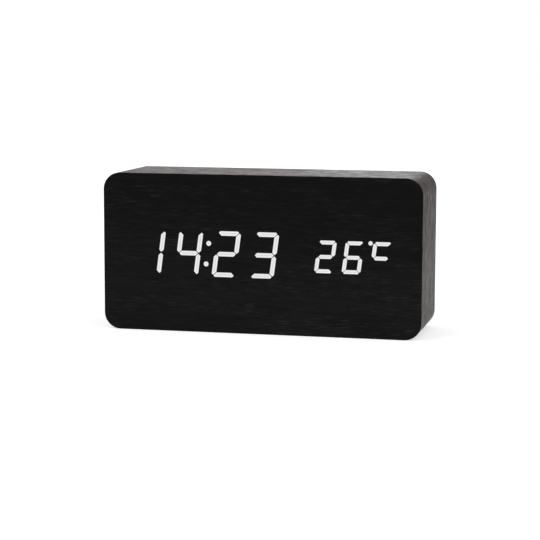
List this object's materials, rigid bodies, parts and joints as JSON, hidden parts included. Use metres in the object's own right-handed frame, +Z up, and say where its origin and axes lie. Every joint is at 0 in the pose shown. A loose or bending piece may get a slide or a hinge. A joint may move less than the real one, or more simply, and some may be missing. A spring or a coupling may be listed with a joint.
{
  "type": "digital desk clock",
  "caption": "Rounded rectangular block clock with black wood-grain film; slanted white segment digits for time and temperature shine through the front; sprung rear buttons, hinged battery door.",
  "frame": {"origin": "middle of the base, on the surface the clock stands on", "axes": "+X along the long face, towards the right seen from the front; -Y out of the display face; +Y out of the back with the buttons and battery door; +Z up"},
  "size_m": [0.15, 0.045, 0.0735],
  "materials": {
    "veneer_black": "satin black wood-grain film",
    "mdf": "bare milled fibreboard",
    "lit_segment": "lit white",
    "reflector_white": "moulded",
    "diffuser": "milky",
    "led_chip": "yellow phosphor",
    "foam_black": "foam",
    "pcb_green": "solder mask",
    "abs_black": "fine moulded texture",
    "button_black": "satin",
    "steel": "zinc plated",
    "screw_black": "black zinc",
    "cell_wrap": "shrink sleeve",
    "chip_black": "moulded epoxy",
    "tin": "tin plated",
    "can_dark": "sleeved can",
    "can_bright": "drawn can",
    "connector_white": "nylon",
    "ribbon_grey": "flexible pvc",
    "wire_red": "pvc",
    "wire_black": "pvc",
    "thermistor_bead": "dipped epoxy",
    "resistor_black": "thick film"
  },
  "bodies": {
    "case": {"case_block": "mdf", "front_veneer": "veneer_black", "band_veneer": "veneer_black", "base_veneer": "veneer_black", "back_veneer": "veneer_black", "lit_time_digits": "lit_segment", "lit_colon_dots": "lit_segment", "lit_temperature_digits": "lit_segment", "lit_degree_unit": "lit_segment", "display_reflector": "reflector_white", "segment_diffusers": "diffuser", "light_seal_tape": "foam_black", "display_board": "pcb_green", "display_board_screws": "steel", "led_chips": "led_chip", "display_driver_chip": "chip_black", "display_connector": "connector_white", "rear_cover": "abs_black", "rear_cover_screws": "screw_black", "battery_cell_1": "cell_wrap", "battery_cell_2": "cell_wrap", "battery_cell_3": "cell_wrap", "battery_cell_4": "cell_wrap", "battery_springs": "steel", "battery_contact_plates": "tin", "battery_lead_tabs": "tin", "red_battery_lead": "wire_red", "black_battery_lead": "wire_black", "main_board": "pcb_green", "main_board_screws": "steel", "controller_chip": "chip_black", "controller_pins": "tin", "crystal": "can_bright", "smoothing_capacitors": "can_dark", "chip_resistors": "resistor_black", "coin_cell_holder": "chip_black", "coin_cell": "can_bright", "coin_cell_clip": "tin", "main_connector": "connector_white", "ribbon_cable": "ribbon_grey", "switch_housings": "chip_black", "switch_legs": "tin", "power_socket": "chip_black", "power_socket_pin": "tin", "buzzer": "chip_black", "microphone": "can_bright", "microphone_leads": "tin", "thermistor": "thermistor_bead", "thermistor_leads": "tin"},
    "battery_door_body": {"battery_door": "abs_black"},
    "set_button_body": {"set_button": "button_black", "set_switch_plunger": "button_black"},
    "up_button_body": {"up_button": "button_black", "up_switch_plunger": "button_black"},
    "down_button_body": {"down_button": "button_black", "down_switch_plunger": "button_black"}
  },
  "joints": [
    {"name": "set_press", "type": "slide", "parent": "case", "child": "set_button_body", "axis": [0, -1, 0], "range_m": [0, 0.0003], "stiffness_N_per_m": 2000, "springref_m": -0.0003},
    {"name": "up_press", "type": "slide", "parent": "case", "child": "up_button_body", "axis": [0, -1, 0], "range_m": [0, 0.0003], "stiffness_N_per_m": 2000, "springref_m": -0.0003},
    {"name": "down_press", "type": "slide", "parent": "case", "child": "down_button_body", "axis": [0, -1, 0], "range_m": [0, 0.0003], "stiffness_N_per_m": 2000, "springref_m": -0.0003},
    {"name": "battery_door_hinge", "type": "hinge", "parent": "case", "child": "battery_door_body", "pos_m": [-0.033, 0.0206, 0.01415], "axis": [-1, 0, 0], "range_deg": [0, 100]}
  ]
}
